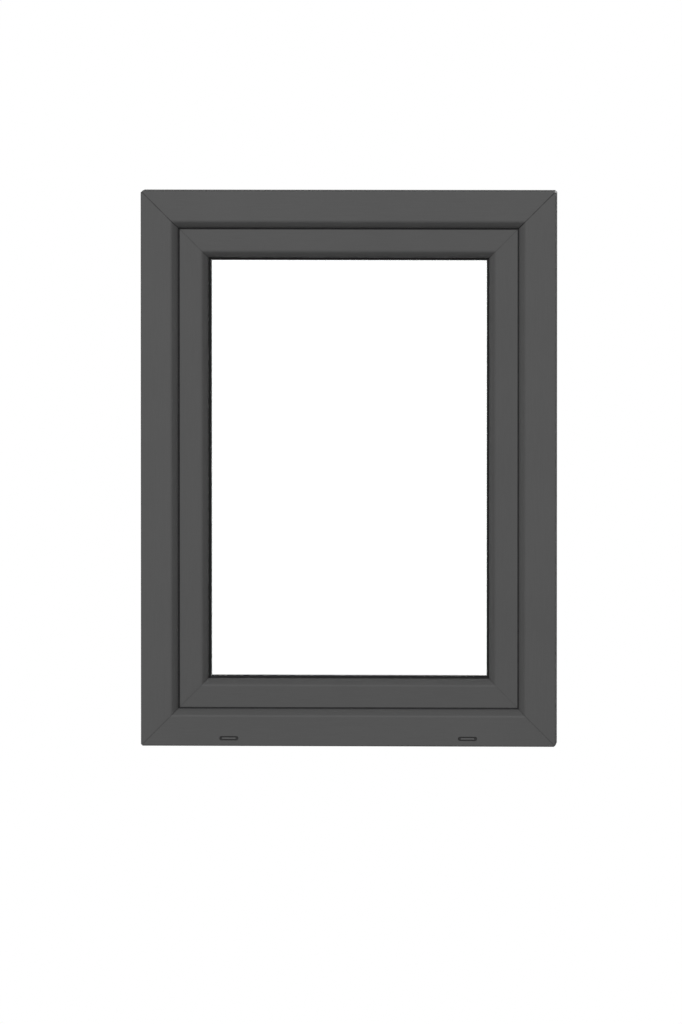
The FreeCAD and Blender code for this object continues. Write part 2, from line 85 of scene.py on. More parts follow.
class WindowFinish(bpy.types.PropertyGroup):
    """Colours and sheen of the window's own materials."""

    foil_colour: FloatVectorProperty(
        name="Foil colour",
        description="Dark grey of the foil on the frame",
        subtype="COLOR",
        size=3,
        min=0.0,
        max=1.0,
        default=(0.082, 0.082, 0.082),
    )
    # Painted shade: the sash foil is darker by this share, for the sash lying recessed behind the
    # frame.
    sash_painted_shade: FloatProperty(
        name="Sash shade",
        description="Brightness of the sash foil as a share of the frame foil",
        subtype="FACTOR",
        min=0.5,
        max=1.0,
        default=0.97,
    )
    foil_roughness: FloatProperty(
        name="Foil roughness",
        description="How dull the foil is",
        subtype="FACTOR",
        min=0.0,
        max=1.0,
        default=0.34,
    )
    foil_gloss: FloatProperty(
        name="Foil gloss",
        description="Strength of the foil's mirror reflection",
        subtype="FACTOR",
        min=0.0,
        max=1.0,
        default=0.05,
    )
    weld_colour: FloatVectorProperty(
        name="Weld colour",
        description="Touch-up pen along the cleaned weld of each mitre",
        subtype="COLOR",
        size=3,
        min=0.0,
        max=1.0,
        default=(0.022, 0.022, 0.022),
    )
    weld_half_width: FloatProperty(
        name="Weld half width",
        description="Half the width of the touched-up weld line",
        subtype="DISTANCE",
        unit="LENGTH",
        min=0.0001,
        max=0.005,
        default=0.0013,
    )
    rubber_colour: FloatVectorProperty(
        name="Seal colour",
        description="Black of the rubber seals",
        subtype="COLOR",
        size=3,
        min=0.0,
        max=1.0,
        default=(0.0145, 0.0145, 0.0148),
    )
    fitting_colour: FloatVectorProperty(
        name="Fitting colour",
        description="Powder coat of the hinges and the handle",
        subtype="COLOR",
        size=3,
        min=0.0,
        max=1.0,
        default=(0.052, 0.052, 0.053),
    )
    glass_colour: FloatVectorProperty(
        name="Glass colour",
        description="Faint tint of the panes",
        subtype="COLOR",
        size=3,
        min=0.0,
        max=1.0,
        default=(0.992, 0.998, 0.995),
    )


class WindowScrews(bpy.types.PropertyGroup):
    """Sizes of the screws that hold the hinges."""

    head_radius: FloatProperty(
        name="Head radius",
        description="Radius of a screw head",
        subtype="DISTANCE",
        unit="LENGTH",
        min=0.001,
        max=0.01,
        default=0.0031,
    )
    head_height: FloatProperty(
        name="Head height",
        description="How far a screw head stands out of its plate",
        subtype="DISTANCE",
        unit="LENGTH",
        min=0.0001,
        max=0.003,
        default=0.0009,
    )
    recess_radius: FloatProperty(
        name="Recess radius",
        description="Mean radius of the six-lobed driver recess",
        subtype="DISTANCE",
        unit="LENGTH",
        min=0.0005,
        max=0.005,
        default=0.00145,
    )
    segments: IntProperty(
        name="Segments",
        description="Points round a screw head",
        min=24,
        max=192,
        default=72,
    )


class WindowHandle(bpy.types.PropertyGroup):
    """Sizes of the cast handle that its box doesn't give."""

    grip_thickness: FloatProperty(
        name="Grip thickness",
        description="Thickness of the lever, from the side of the hand to the side of the sash",
        subtype="DISTANCE",
        unit="LENGTH",
        min=0.004,
        max=0.03,
        default=0.0125,
    )
    grip_end_width: FloatProperty(
        name="Grip end width",
        description="Width that the lever narrows to at its end",
        subtype="DISTANCE",
        unit="LENGTH",
        min=0.005,
        max=0.04,
        default=0.017,
    )
    elbow_radius: FloatProperty(
        name="Elbow radius",
        description="Radius of the bend from the neck to the grip, along the middle of the lever",
        subtype="DISTANCE",
        unit="LENGTH",
        min=0.008,
        max=0.04,
        default=0.016,
    )
    neck_radius: FloatProperty(
        name="Neck radius",
        description="Radius of the round neck where it leaves the collar",
        subtype="DISTANCE",
        unit="LENGTH",
        min=0.004,
        max=0.02,
        default=0.0088,
    )
    collar_radius: FloatProperty(
        name="Collar radius",
        description="Radius of the collar on the rosette",
        subtype="DISTANCE",
        unit="LENGTH",
        min=0.005,
        max=0.03,
        default=0.0115,
    )
    collar_height: FloatProperty(
        name="Collar height",
        description="How far the collar stands out of the rosette",
        subtype="DISTANCE",
        unit="LENGTH",
        min=0.001,
        max=0.02,
        default=0.005,
    )
    edge_radius: FloatProperty(
        name="Edge radius",
        description="Rounding of the rosette's edge and the lever's end",
        subtype="DISTANCE",
        unit="LENGTH",
        min=0.0005,
        max=0.005,
        default=0.0026,
    )
    squareness: FloatProperty(
        name="Squareness",
        description="Power of the lever's section: 2 is an ellipse, and a larger one is squarer",
        min=2.0,
        max=10.0,
        default=3.6,
    )


class WindowStudio(bpy.types.PropertyGroup):
    """Camera and light."""

    metres_per_pixel: FloatProperty(
        name="Metres per pixel",
        description="Size of one picture pixel on the glass",
        min=0.0005,
        max=0.01,
        precision=6,
        default=0.001646,
    )
    camera_distance: FloatProperty(
        name="Camera distance",
        description="Distance from the camera to the glass",
        subtype="DISTANCE",
        unit="LENGTH",
        min=1.0,
        max=60.0,
        default=24.0,
    )
    camera_turn: FloatProperty(
        name="Camera turn",
        description="How far the camera stands to the right of straight on",
        subtype="ANGLE",
        unit="ROTATION",
        min=-1.0,
        max=1.0,
        default=math.radians(2.5),
    )
    camera_rise: FloatProperty(
        name="Camera rise",
        description="How far the camera stands above straight on",
        subtype="ANGLE",
        unit="ROTATION",
        min=-1.0,
        max=1.0,
        default=math.radians(3.0),
    )
    key_power: FloatProperty(
        name="Key power",
        description="Power of the lamp above and to the left of the camera",
        subtype="POWER",
        unit="POWER",
        min=0.0,
        max=3000.0,
        default=1085.0,
    )
    front_power: FloatProperty(
        name="Front power",
        description="Power of the low lamp in front of the window",
        subtype="POWER",
        unit="POWER",
        min=0.0,
        max=3000.0,
        default=34.0,
    )
    room_power: FloatProperty(
        name="Room power",
        description="Power of the small lamp on the room side",
        subtype="POWER",
        unit="POWER",
        min=0.0,
        max=3000.0,
        default=45.0,
    )
    room_fill_power: FloatProperty(
        name="Room fill power",
        description="Power of the large lamp on the room side",
        subtype="POWER",
        unit="POWER",
        min=0.0,
        max=3000.0,
        default=280.0,
    )
    side_power: FloatProperty(
        name="Side power",
        description="Power of each of the two lamps beside the window",
        subtype="POWER",
        unit="POWER",
        min=0.0,
        max=3000.0,
        default=85.0,
    )
    surround: FloatProperty(
        name="Surround",
        description="Level of the even light from all round",
        min=0.0,
        max=2.0,
        default=0.06,
    )
    floor_drop: FloatProperty(
        name="Floor drop",
        description="Height of the window's sill above the floor",
        subtype="DISTANCE",
        unit="LENGTH",
        min=0.0,
        max=3.0,
        default=0.9,
    )


class Finish:
    """Short-hand for the nodes of one material, which ends in one Principled shader."""

    def __init__(self, name):
        self.material = bpy.data.materials.new(name)
        self.material.use_nodes = True
        self.tree = self.material.node_tree
        self.tree.nodes.clear()
        output = self.tree.nodes.new("ShaderNodeOutputMaterial")
        self.shader = self.tree.nodes.new("ShaderNodeBsdfPrincipled")
        self.tree.links.new(self.shader.outputs["BSDF"], output.inputs["Surface"])
        self.place = self.tree.nodes.new("ShaderNodeTexCoord").outputs["Object"]

    def feed(self, socket, value):
        """Links another socket to a socket, or sets a plain value on it."""
        if isinstance(value, bpy.types.NodeSocket):
            self.tree.links.new(value, socket)
        else:
            socket.default_value = value

    def set(self, **values):
        """Sets or links sockets of the shader, named with underscores for spaces."""
        for name, value in values.items():
            self.feed(self.shader.inputs[name.replace("_", " ")], value)

    def maths(self, operation, *values):
        """One arithmetic step."""
        node = self.tree.nodes.new("ShaderNodeMath")
        node.operation = operation
        for socket, value in zip(node.inputs, values):
            self.feed(socket, value)
        return node.outputs["Value"]

    def stretched(self, scale):
        """Object coordinates scaled along each axis, so that a pattern runs longer along one."""
        node = self.tree.nodes.new("ShaderNodeMapping")
        node.inputs["Scale"].default_value = scale
        self.feed(node.inputs["Vector"], self.place)
        return node.outputs["Vector"]

    def noise(self, scale, detail=2.0, vector=None):
        """Cloudy value from 0 to 1 with about "scale" features to the metre."""
        node = self.tree.nodes.new("ShaderNodeTexNoise")
        node.inputs["Scale"].default_value = scale
        node.inputs["Detail"].default_value = detail
        self.feed(node.inputs["Vector"], self.place if vector is None else vector)
        return node.outputs["Fac"]

    def axes(self):
        """X, Y and Z of the object coordinates."""
        node = self.tree.nodes.new("ShaderNodeSeparateXYZ")
        self.feed(node.inputs["Vector"], self.place)
        return node.outputs["X"], node.outputs["Y"], node.outputs["Z"]

    def ease(self, value, start, end, first=0.0, last=1.0):
        """Smooth change from first at start and before it, to last at end and after it."""
        node = self.tree.nodes.new("ShaderNodeMapRange")
        node.interpolation_type = "SMOOTHSTEP"
        limits = {"From Min": start, "From Max": end, "To Min": first, "To Max": last}
        for name, number in limits.items():
            self.feed(node.inputs[name], number)
        self.feed(node.inputs["Value"], value)
        return node.outputs["Result"]

    def span(self, value, first, last):
        """Even change from first, where the value is 0, to last, where it is 1."""
        return self.maths("MULTIPLY_ADD", value, last - first, first)

    def blend(self, factor, first, second):
        """Colour between two colours."""
        node = self.tree.nodes.new("ShaderNodeMix")
        node.data_type = "RGBA"
        self.feed(node.inputs["Factor"], factor)
        colours = [socket for socket in node.inputs if socket.type == "RGBA"]
        for socket, colour in zip(colours, (first, second)):
            self.feed(socket, colour)
        return next(socket for socket in node.outputs if socket.type == "RGBA")

    def relief(self, height, distance, strength=1.0, under=None):
        """Surface normal of a height from 0 to 1 that stands "distance" metres high.

        It lies on top of another relief where one is given.
        """
        node = self.tree.nodes.new("ShaderNodeBump")
        node.inputs["Strength"].default_value = strength
        node.inputs["Distance"].default_value = distance
        self.feed(node.inputs["Height"], height)
        if under is not None:
            self.feed(node.inputs["Normal"], under)
        return node.outputs["Normal"]


def opaque(colour, share=1.0):
    """Colour with its brightness scaled and a full alpha."""
    return tuple(channel * share for channel in colour) + (1.0,)


def outer_distances(finish):
    """Distance in from the outer edge of the nearer jamb, and of the nearer of sill and head."""
    x, _, z = finish.axes()
    half_span = (FRAME_RIGHT - FRAME_LEFT) / 2
    half_rise = (FRAME_TOP - FRAME_BOTTOM) / 2
    from_jamb = finish.maths("SUBTRACT", half_span, finish.maths("ABSOLUTE", x))
    from_middle = finish.maths("SUBTRACT", z, FRAME_BOTTOM + half_rise)
    from_sill = finish.maths("SUBTRACT", half_rise, finish.maths("ABSOLUTE", from_middle))
    return from_jamb, from_sill


def mitre_line(finish, half_width, low_strength, high_strength):
    """Strength of the touched-up weld: 0 beside a mitre, and on it growing from sill to head as
    painted shade, for the weld groove shaded under light from above.

    A mitre is where the two outer distances are equal, and square to it their difference grows by
    the square root of 2.  The touch-up is worn thin in places.
    """
    from_jamb, from_sill = outer_distances(finish)
    offset = finish.maths("ABSOLUTE", finish.maths("SUBTRACT", from_jamb, from_sill))
    line = finish.ease(offset, 0.0, half_width * math.sqrt(2), first=1.0, last=0.0)
    _, _, height = finish.axes()
    # Painted shade: the weld line darkens from sill to head, for its groove shaded under light from
    # above.
    strength = finish.ease(height, FRAME_BOTTOM, FRAME_TOP, low_strength, high_strength)
    worn = finish.ease(finish.noise(scale=70.0), start=0.3, end=0.6, first=0.55)
    return finish.maths("MULTIPLY", line, finish.maths("MULTIPLY", strength, worn))


def outer_edge(finish):
    """1 on the edge faces that turn to the wall, which have no foil, and 0 elsewhere."""
    edge_depth = 0.0004
    inwards = finish.maths("MINIMUM", *outer_distances(finish))
    return finish.ease(inwards, edge_depth / 2, edge_depth, first=1.0, last=0.0)


def crown(finish, tip):
    """Height in metres of the foil on a bar whose bevel ends at "tip" metres from the outer edge.

    It falls away as s * s / (2 * radius), where s is how far a point lies inside the last stretch
    before the tip.
    """
    stretch = 0.0065
    radius = 0.024
    inwards = finish.maths("MINIMUM", *outer_distances(finish))
    into_stretch = finish.maths("SUBTRACT", inwards, tip - stretch)
    held = finish.maths("MINIMUM", finish.maths("MAXIMUM", into_stretch, 0.0), stretch)
    return finish.maths("MULTIPLY", finish.maths("MULTIPLY", held, held), -0.5 / radius)


def foil(name, looks, shade, along_x, weld_and_shade_strengths, tip):
    """Grained foil: clouds, streaks along the bar, dark mitre lines and a soft bevel tip.

    Its colour is scaled by shade, which on the sash is painted shade for its recess behind the
    frame.
    """
    finish = Finish(name)
    narrowing = 24.0
    streak_share = 0.4
    sheen_spread = 0.05
    streak_scale = (1.0, narrowing, narrowing) if along_x else (narrowing, narrowing, 1.0)
    streaks = finish.noise(scale=34.0, detail=3.0, vector=finish.stretched(streak_scale))
    clouds = finish.noise(scale=7.0)
    grain = finish.noise(scale=2600.0)
    mean = finish.maths("MULTIPLY", finish.maths("ADD", streaks, clouds), 0.5)
    # shade scales the colour down: on the sash this is painted shade for its recess behind the
    # frame.
    dark = opaque(looks.foil_colour, share=0.965 * shade)
    light = opaque(looks.foil_colour, share=1.035 * shade)
    plain = finish.blend(finish.ease(mean, start=0.3, end=0.7), dark, light)
    weld = mitre_line(finish, looks.weld_half_width, *weld_and_shade_strengths)
    roughness = looks.foil_roughness
    sheen = finish.span(grain, roughness - sheen_spread, roughness + sheen_spread)
    grained = finish.maths("MULTIPLY_ADD", streaks, streak_share, grain)
    soft_tip = finish.relief(crown(finish, tip), distance=1.0)
    finish.set(
        Base_Color=finish.blend(weld, plain, opaque(looks.weld_colour)),
        Roughness=finish.maths("MAXIMUM", sheen, outer_edge(finish)),
        Specular_IOR_Level=looks.foil_gloss,
        Normal=finish.relief(grained, distance=0.00003, strength=0.6, under=soft_tip),
    )
    return finish.material


def seal_rubber(name, looks, paler_share):
    """Matt black rubber with a fine skin, faintly clouded, and paler by a given share."""
    finish = Finish(name)
    bloom = finish.noise(scale=120.0, detail=3.0)
    skin = finish.noise(scale=1800.0)
    dark = opaque(looks.rubber_colour, share=0.88 * (1.0 + paler_share))
    light = opaque(looks.rubber_colour, share=1.12 * (1.0 + paler_share))
    finish.set(
        Base_Color=finish.blend(finish.ease(bloom, start=0.3, end=0.7), dark, light),
        Roughness=finish.span(skin, first=0.6, last=0.76),
        Specular_IOR_Level=0.06,
        Normal=finish.relief(skin, distance=0.00004, strength=0.5),
    )
    return finish.material


def clear_glass(looks):
    """Float glass: clear and flat, with a breath of unevenness in its polish."""
    finish = Finish("clear float glass")
    finish.set(
        Base_Color=opaque(looks.glass_colour),
        Roughness=finish.ease(finish.noise(scale=9.0), start=0.55, end=0.8, last=0.004),
        IOR=1.5,
        Transmission_Weight=1.0,
    )
    return finish.material


def spacer_metal():
    """Mill finish spacer with two rows of fine perforations towards the cavity, drawn as dashes of
    painted shade.
    """
    finish = Finish("spacer aluminium")
    row_offset = 0.0028
    row_half_width = 0.00035
    row_fade = 0.00021
    _, y, _ = finish.axes()
    low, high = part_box("spacer_bar")
    from_middle = finish.maths("ABSOLUTE", finish.maths("SUBTRACT", y, (low.y + high.y) / 2))
    from_row = finish.maths("ABSOLUTE", finish.maths("SUBTRACT", from_middle, row_offset))
    in_row = finish.ease(from_row, row_half_width, row_half_width + row_fade, first=1.0, last=0.0)
    dashes = finish.ease(finish.noise(scale=420.0, detail=0.0), start=0.48, end=0.54)
    shaded_perforations = finish.maths("MULTIPLY", in_row, dashes)
    brushed = finish.noise(scale=900.0)
    metal = opaque((0.58, 0.585, 0.595))
    # Painted shade: the perforations are dark dashes standing in for the shade inside the holes.
    hole_painted_shade = opaque((0.05, 0.05, 0.052))
    finish.set(
        Base_Color=finish.blend(shaded_perforations, metal, hole_painted_shade),
        Metallic=1.0,
        Roughness=finish.span(brushed, first=0.3, last=0.42),
        Normal=finish.relief(brushed, distance=0.00002, strength=0.4),
    )
    return finish.material


def cap_plastic(looks):
    """Moulded plastic of the drain caps, with painted shade darkening the sunk ring against the
    rib.
    """
    finish = Finish("drain cap plastic")
    rib_depth = 0.0006
    ring_depth = 0.0024
    _, y, _ = finish.axes()
    recess_shade = finish.ease(y, OUTDOOR_FACE + rib_depth, OUTDOOR_FACE + ring_depth)
    speckle = finish.noise(scale=1500.0)
    rib = opaque(looks.foil_colour, share=0.86)
    # Painted shade: the ring is darkened by its depth in the cap.
    ring = opaque(looks.foil_colour, share=0.1)
    finish.set(
        Base_Color=finish.blend(recess_shade, rib, ring),
        Roughness=finish.span(speckle, first=0.45, last=0.6),
        Specular_IOR_Level=0.2,
        Normal=finish.relief(speckle, distance=0.00003, strength=0.4),
    )
    return finish.material


def powder_coat(looks):
    """Satin powder coat with a fine orange-peel texture."""
    finish = Finish("fitting powder coat")
    peel = finish.noise(scale=1100.0, detail=1.0)
    clouds = finish.noise(scale=40.0)
    dark = opaque(looks.fitting_colour, share=0.95)
    light = opaque(looks.fitting_colour, share=1.06)
    finish.set(
        Base_Color=finish.blend(finish.ease(clouds, start=0.3, end=0.7), dark, light),
        Roughness=finish.span(peel, first=0.34, last=0.44),
        Specular_IOR_Level=0.3,
        Normal=finish.relief(peel, distance=0.00005, strength=0.5),
    )
    return finish.material


def screw_steel():
    """Blackened screw steel with bright, smoother wear in patches."""
    finish = Finish("blackened screw steel")
    wear = finish.ease(finish.noise(scale=1400.0, detail=3.0), start=0.52, end=0.68)
    blackened = opaque((0.09, 0.09, 0.095))
    bright = opaque((0.2, 0.2, 0.205))
    finish.set(
        Base_Color=finish.blend(wear, blackened, bright),
        Metallic=0.9,
        Roughness=finish.span(wear, first=0.42, last=0.3),
    )
    return finish.material


def dress(nodes, material):
    """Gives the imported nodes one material."""
    for name in nodes:
        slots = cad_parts[name].data.materials
        slots.clear()
        slots.append(material)


def full_turn(segments):
    """Angles of a closed ring."""
    return np.linspace(0.0, 2.0 * np.pi, segments, endpoint=False)


def turned_faces(rings, segments):
    """Quads of a grid of closed rings.

    Point j of ring i joins point j + 1 of its own ring and the same two points of ring i + 1.
    """
    ring, segment = np.meshgrid(np.arange(rings - 1), np.arange(segments), indexing="ij")
    after = (segment + 1) % segments
    corners = (
        ring * segments + segment,
        ring * segments + after,
        (ring + 1) * segments + after,
        (ring + 1) * segments + segment,
    )
    return np.stack(corners, axis=-1).reshape(-1, 4)


def surface_piece(name, patches, material):
    """One smooth mesh object of patches of (rings, segments, 3) points, riding on the window.

    A ring of no size is a pole: its points are merged into one, and then every face is turned
    outwards.
    """
    merge_distance = 1e-6
    points = []
    faces = []
    start = 0
    for patch in patches:
        rings, segments, _ = patch.shape
        points.append(patch.reshape(-1, 3))
        faces.append(turned_faces(rings, segments) + start)
        start += rings * segments
    mesh = bpy.data.meshes.new(name)
    mesh.from_pydata(np.concatenate(points).tolist(), [], np.concatenate(faces).tolist())
    shell = bmesh.new()
    shell.from_mesh(mesh)
    bmesh.ops.remove_doubles(shell, verts=shell.verts, dist=merge_distance)
    bmesh.ops.recalc_face_normals(shell, faces=shell.faces)
    shell.to_mesh(mesh)
    shell.free()
    mesh.polygons.foreach_set("use_smooth", np.ones(len(mesh.polygons), dtype=bool))
    mesh.materials.append(material)
    piece = bpy.data.objects.new(name, mesh)
    bpy.context.scene.collection.objects.link(piece)
    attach(piece, "root")
    return piece


def screw_head(sizes, phase):
    """Points (rings, segments, 3) of a screw head that faces +Y, from its recess to its underside.

    At angle t the recess wall lies at r = recess_radius * (1 + lobe_depth * cos(lobes * t)).  The
    face runs from there out to the head radius, the rim drops to the plate, and the last ring
    closes the underside.  Each ring has a share of its radius and a share of the head's height.
    """
    lobes = 6
    lobe_depth = 0.16
    recess_rings = ((0.0, 0.12), (0.9, 0.12), (1.0, 0.22), (1.06, 1.0))
    rim_rings = ((0.8, 1.0), (0.93, 0.94), (0.99, 0.72), (1.0, 0.4), (1.0, 0.0), (0.0, 0.0))
    turn = full_turn(sizes.segments)
    wall = sizes.recess_radius * (1.0 + lobe_depth * np.cos(lobes * turn))
    rim = np.full_like(turn, sizes.head_radius)
    recess_radii = [wall * share for share, _ in recess_rings]
    rim_radii = [rim * share for share, _ in rim_rings]
    radii = np.stack(recess_radii + rim_radii)
    heights = sizes.head_height * np.array([share for _, share in recess_rings + rim_rings])
    x = radii * np.cos(turn + phase)
    z = radii * np.sin(turn + phase)
    y = np.broadcast_to(heights[:, None], x.shape)
    return np.stack([x, y, z], axis=-1)


def screw_patches(places, sizes):
    """Screw heads on the given places, each turned a little differently."""
    turn_step = 0.7
    heads = [screw_head(sizes, turn_step * index) for index in range(len(places))]
    return [head + np.array(place) for head, place in zip(heads, places)]


def lever_surface(sizes):
    """Points (rings, segments, 3) of the lever: a section carried along neck, elbow and grip.

    At angle t a section is half_width * |cos t|^(2 / n) by half_depth * |sin t|^(2 / n) with their
    signs, a superellipse.  It goes from a circle at the collar to a flat squarish bar with power n
    before the elbow, narrows evenly down the grip, and draws in by a quarter circle of the edge
    radius at the end.
    """
    neck_rings, bend_rings, grip_rings, edge_rings, segments = 16, 24, 40, 8, 64
    before_grip, after_bend = neck_rings + bend_rings, grip_rings + edge_rings
    sunk_in_collar = 0.001
    end_face_share = 0.85
    low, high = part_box("handle_lever")
    half_thickness = sizes.grip_thickness / 2
    grip_y, neck_z = high.y - half_thickness, high.z - half_thickness
    elbow_y, elbow_z = grip_y - sizes.elbow_radius, neck_z - sizes.elbow_radius
    start_y = low.y - sunk_in_collar
    grip_run = elbow_z - low.z - sizes.edge_radius

    # How far along each stretch its rings lie, by angle in the bend and the rounded edge
    neck = np.linspace(0.0, 1.0, neck_rings)
    bend = np.linspace(0.0, np.pi / 2, bend_rings + 1)[1:]
    grip = np.linspace(0.0, 1.0, grip_rings + 1)[1:]
    rounding = np.linspace(0.0, np.pi / 2, edge_rings + 1)[1:]

    # Middle of each ring, and how far the ring is tilted
    y = np.concatenate(
        [
            start_y + neck * (elbow_y - start_y),
            elbow_y + sizes.elbow_radius * np.sin(bend),
            np.full(after_bend, grip_y),
        ]
    )
    z = np.concatenate(
        [
            np.full(neck_rings, neck_z),
            elbow_z + sizes.elbow_radius * np.cos(bend),
            elbow_z - grip * grip_run,
            low.z + sizes.edge_radius * (1.0 - np.sin(rounding)),
        ]
    )
    tilt = np.concatenate([np.zeros(neck_rings), bend, np.full(after_bend, np.pi / 2)])[:, None]

    # Section of each ring
    easing = neck * neck * (3.0 - 2.0 * neck)
    flatness = np.concatenate([easing, np.ones(bend_rings + after_bend)])
    taper = np.concatenate([np.zeros(before_grip), grip, np.ones(edge_rings)])
    drawn_in = np.concatenate([np.zeros(before_grip + grip_rings), 1.0 - np.cos(rounding)])
    inset = drawn_in * sizes.edge_radius
    bar_half_width = (high.x - low.x) / 2
    bar_width = bar_half_width + taper * (sizes.grip_end_width / 2 - bar_half_width)
    half_width = sizes.neck_radius + flatness * (bar_width - sizes.neck_radius) - inset
    half_depth = sizes.neck_radius + flatness * (half_thickness - sizes.neck_radius) - inset
    power = (2.0 / (2.0 + flatness * (sizes.squareness - 2.0)))[:, None]

    turn = full_turn(segments)[None, :]
    across = half_width[:, None] * np.sign(np.cos(turn)) * np.abs(np.cos(turn)) ** power
    through = half_depth[:, None] * np.sign(np.sin(turn)) * np.abs(np.sin(turn)) ** power
    body = np.stack(
        [
            (low.x + high.x) / 2 + across,
            y[:, None] + through * np.sin(tilt),
            z[:, None] + through * np.cos(tilt),
        ],
        axis=-1,
    )
    first_pole = np.broadcast_to(body[:1].mean(axis=1, keepdims=True), body[:1].shape)
    last_pole = np.broadcast_to(body[-1:].mean(axis=1, keepdims=True), body[-1:].shape)
    end_face = last_pole + end_face_share * (body[-1:] - last_pole)
    return np.concatenate([first_pole, body, end_face, last_pole])


def rosette_surfaces(sizes):
    """Points of the rosette's plate and of its collar, each (rings, segments, 3).

    A ring of the plate at angle t is a circle of radius r pulled apart into a strip with round
    ends: x = r * cos t and z = r * sin t, moved up or down by the strip's straight half length.
    The collar's rings are circles.  Both pieces rise straight from their foot and turn in by a
    quarter circle at the top edge.
    """
    edge_rings, segments = 9, 96
    top_share = 0.9
    collar_edge = sizes.edge_radius / 3
    low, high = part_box("handle_rosette")
    middle = np.array([(low.x + high.x) / 2, 0.0, (low.z + high.z) / 2])
    half_width, half_length = (high.x - low.x) / 2, (high.z - low.z) / 2
    rounding = np.linspace(0.0, np.pi / 2, edge_rings)
    turn = full_turn(segments)
    upper = np.where(turn < np.pi, 1.0, -1.0)

    def raised(radius, straight, top, edge):
        """Rings of a closed strip from its foot, up its wall, round its edge and over its top."""
        edge_radii = radius - edge * (1.0 - np.cos(rounding))
        edge_heights = top - edge * (1.0 - np.sin(rounding))
        radii = np.concatenate([[0.0, radius], edge_radii, [(radius - edge) * top_share, 0.0]])
        heights = np.concatenate([[low.y, low.y], edge_heights, [top, top]])
        x = radii[:, None] * np.cos(turn)
        z = radii[:, None] * np.sin(turn) + straight * upper
        return middle + np.stack([x, np.broadcast_to(heights[:, None], x.shape), z], axis=-1)

    plate_top = high.y - sizes.collar_height
    plate = raised(half_width, half_length - half_width, plate_top, sizes.edge_radius)
    collar = raised(sizes.collar_radius, 0.0, high.y, collar_edge)
    return [plate, collar]


def seen_directly(tree):
    """1 for rays that see the surround directly, mirrored or through glass, and 0 for its light."""
    path = tree.nodes.new("ShaderNodeLightPath")
    factor = path.outputs["Is Camera Ray"]
    for name in ("Is Glossy Ray", "Is Transmission Ray"):
        larger = tree.nodes.new("ShaderNodeMath")
        larger.operation = "MAXIMUM"
        tree.links.new(factor, larger.inputs[0])
        tree.links.new(path.outputs[name], larger.inputs[1])
        factor = larger.outputs["Value"]
    return factor


def white_light(tree, kind, strength):
    """White background or emission of the given strength."""
    node = tree.nodes.new(kind)
    node.inputs["Color"].default_value = (1.0, 1.0, 1.0, 1.0)
    node.inputs["Strength"].default_value = strength
    return node.outputs[0]


def matt_grey(tree, level):
    """Matt grey that shows the light and the shadow on it."""
    node = tree.nodes.new("ShaderNodeBsdfDiffuse")
    node.inputs["Color"].default_value = (level, level, level, 1.0)
    return node.outputs["BSDF"]


def joined(tree, kind, *sources):
    """Mix or sum of shaders, where a mix takes its factor first."""
    node = tree.nodes.new(kind)
    for source, socket in zip(sources, node.inputs):
        tree.links.new(source, socket)
    return node.outputs["Shader"]


def make_world(scene, studio):
    """White surround that lights the window evenly and gently."""
    world = bpy.data.worlds.new("white surround")
    world.use_nodes = True
    tree = world.node_tree
    tree.nodes.clear()
    light = white_light(tree, "ShaderNodeBackground", strength=studio.surround)
    white = white_light(tree, "ShaderNodeBackground", strength=1.0)
    output = tree.nodes.new("ShaderNodeOutputWorld")
    surround = joined(tree, "ShaderNodeMixShader", seen_directly(tree), light, white)
    tree.links.new(surround, output.inputs["Surface"])
    scene.world = world


def rim_fade(tree, start, end):
    """0 on the floor as far out as start, and from there a smooth rise to 1 at end."""
    place = tree.nodes.new("ShaderNodeTexCoord").outputs["Object"]
    flat = tree.nodes.new("ShaderNodeVectorMath")
    flat.operation = "MULTIPLY"
    flat.inputs[1].default_value = (1.0, 1.0, 0.0)
    reach = tree.nodes.new("ShaderNodeVectorMath")
    reach.operation = "LENGTH"
    rim = tree.nodes.new("ShaderNodeMapRange")
    rim.interpolation_type = "SMOOTHSTEP"
    rim.inputs["From Min"].default_value = start
    rim.inputs["From Max"].default_value = end
    tree.links.new(place, flat.inputs[0])
    tree.links.new(flat.outputs["Vector"], reach.inputs[0])
    tree.links.new(reach.outputs["Value"], rim.inputs["Value"])
    return rim.outputs["Result"]


def floor_material(radius):
    """Pale floor that keeps the window's shadow and fades into the white surround towards its rim.

    Its light on the window is that of a dark floor, and it is clear from below.
    """
    own_glow = 0.1
    shown_grey = 0.82
    bounce_grey = 0.1
    fade_start, fade_end = 0.35 * radius, 0.95 * radius
    material = bpy.data.materials.new("pale floor")
    material.use_nodes = True
    tree = material.node_tree
    tree.nodes.clear()
    glow = white_light(tree, "ShaderNodeEmission", strength=own_glow)
    white = white_light(tree, "ShaderNodeEmission", strength=1.0)
    shown = joined(tree, "ShaderNodeAddShader", glow, matt_grey(tree, shown_grey))
    faded = joined(tree, "ShaderNodeMixShader", rim_fade(tree, fade_start, fade_end), shown, white)
    bounce = matt_grey(tree, bounce_grey)
    above = joined(tree, "ShaderNodeMixShader", seen_directly(tree), bounce, faded)
    clear = tree.nodes.new("ShaderNodeBsdfTransparent").outputs["BSDF"]
    from_below = tree.nodes.new("ShaderNodeNewGeometry").outputs["Backfacing"]
    output = tree.nodes.new("ShaderNodeOutputMaterial")
    one_sided = joined(tree, "ShaderNodeMixShader", from_below, above, clear)
    tree.links.new(one_sided, output.inputs["Surface"])
    return material


